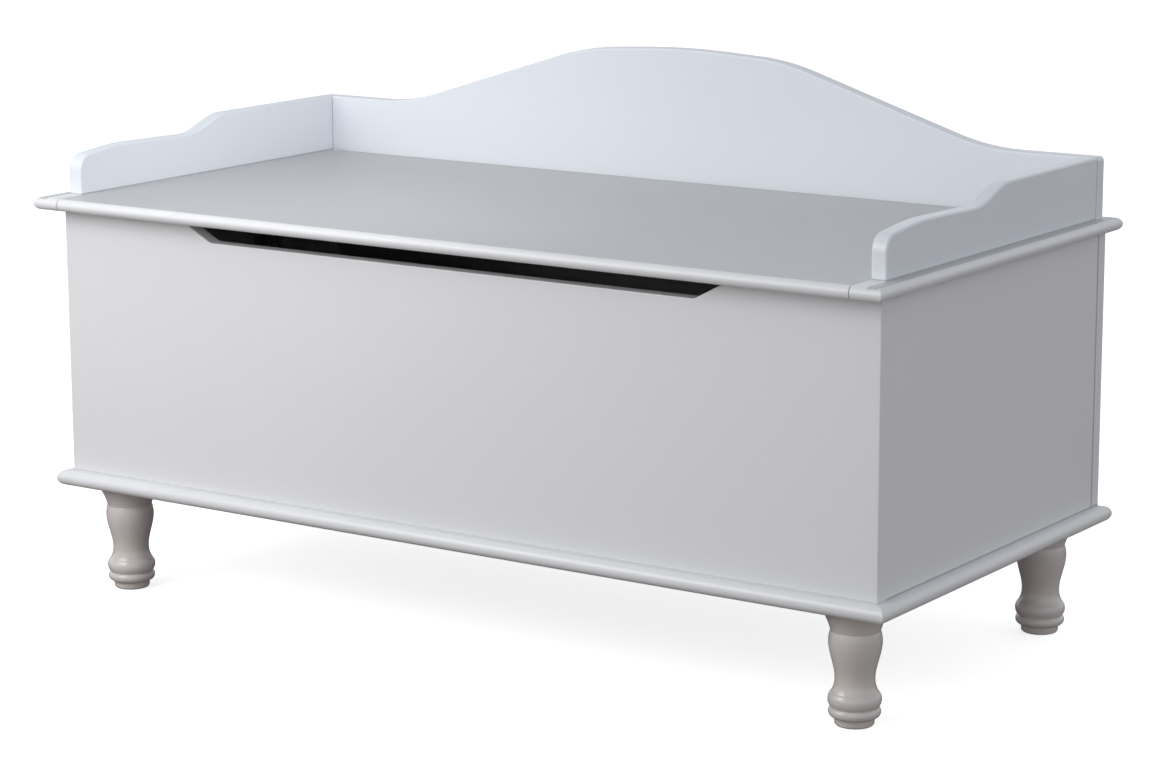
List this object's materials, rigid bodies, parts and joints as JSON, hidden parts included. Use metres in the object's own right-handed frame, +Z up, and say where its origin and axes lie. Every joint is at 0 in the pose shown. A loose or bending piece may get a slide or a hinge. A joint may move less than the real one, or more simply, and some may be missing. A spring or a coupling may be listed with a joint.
{
  "type": "toy box",
  "caption": "White painted wooden toy box and bench: hinged flat lid with finger slot below, low shaped arms, curved backrest, turned legs.",
  "frame": {"origin": "on the floor, under the middle of the bounding box", "axes": "+X along the bench (to the right seen from the front), -Y is the front, +Z is up"},
  "size_m": [0.929, 0.453, 0.5227],
  "materials": {
    "white_paint": "satin white paint on wood board",
    "grey_paint": "satin light grey paint on the flat top, white on the rounded edge",
    "zinc_steel": "bright zinc plate",
    "hinge_steel": "nickel plate",
    "stay_steel": "pressed zinc plated steel",
    "beech_dowel": "bare beech",
    "bumper_rubber": "soft matt rubber"
  },
  "bodies": {
    "carcass": {"base_board": "white_paint", "front_panel": "white_paint", "back_panel": "white_paint", "left_side_panel": "white_paint", "right_side_panel": "white_paint", "left_top_rail": "white_paint", "right_top_rail": "white_paint", "rear_top_rail": "white_paint", "left_arm": "white_paint", "right_arm": "white_paint", "backrest": "white_paint", "front_left_leg": "white_paint", "rear_left_leg": "white_paint", "front_right_leg": "white_paint", "rear_right_leg": "white_paint", "leg_hanger_bolts": "zinc_steel", "leg_tee_nuts": "zinc_steel", "cam_locks": "zinc_steel", "cam_bolts": "zinc_steel", "back_panel_screws": "zinc_steel", "base_screws": "zinc_steel", "backrest_screws": "zinc_steel", "stay_plate_screws": "zinc_steel", "hinge_frame_screws": "zinc_steel", "hinge_fixed_leaf": "hinge_steel", "hinge_pin": "hinge_steel", "panel_dowels": "beech_dowel", "arm_dowels": "beech_dowel", "rail_dowels": "beech_dowel", "backrest_dowels": "beech_dowel", "lid_bumpers": "bumper_rubber", "left_stay_plate": "stay_steel", "right_stay_plate": "stay_steel", "stay_studs": "stay_steel"},
    "lid": {"lid": "grey_paint", "hinge_lid_leaf": "hinge_steel", "hinge_lid_screws": "zinc_steel", "left_stay_bracket": "stay_steel", "right_stay_bracket": "stay_steel", "stay_rivets": "stay_steel", "stay_bracket_screws": "zinc_steel"},
    "left_stay": {"left_stay_arm": "stay_steel"},
    "right_stay": {"right_stay_arm": "stay_steel"}
  },
  "joints": [
    {"name": "lid_hinge", "type": "hinge", "parent": "carcass", "child": "lid", "pos_m": [0, 0.1965, 0.3895], "axis": [-1, 0, 0], "range_deg": [0, 85]},
    {"name": "left_stay_turn", "type": "hinge", "parent": "lid", "child": "left_stay", "pos_m": [-0.4285, 0.06799, 0.369], "axis": [-1, 0, 0], "range_deg": [-43, 0]},
    {"name": "right_stay_turn", "type": "hinge", "parent": "lid", "child": "right_stay", "pos_m": [0.4285, 0.06799, 0.369], "axis": [-1, 0, 0], "range_deg": [-43, 0]}
  ],
  "couplings": [
    {"joint": "left_stay_turn", "follows": "lid_hinge", "ratio": -0.5},
    {"joint": "right_stay_turn", "follows": "lid_hinge", "ratio": -0.5}
  ]
}
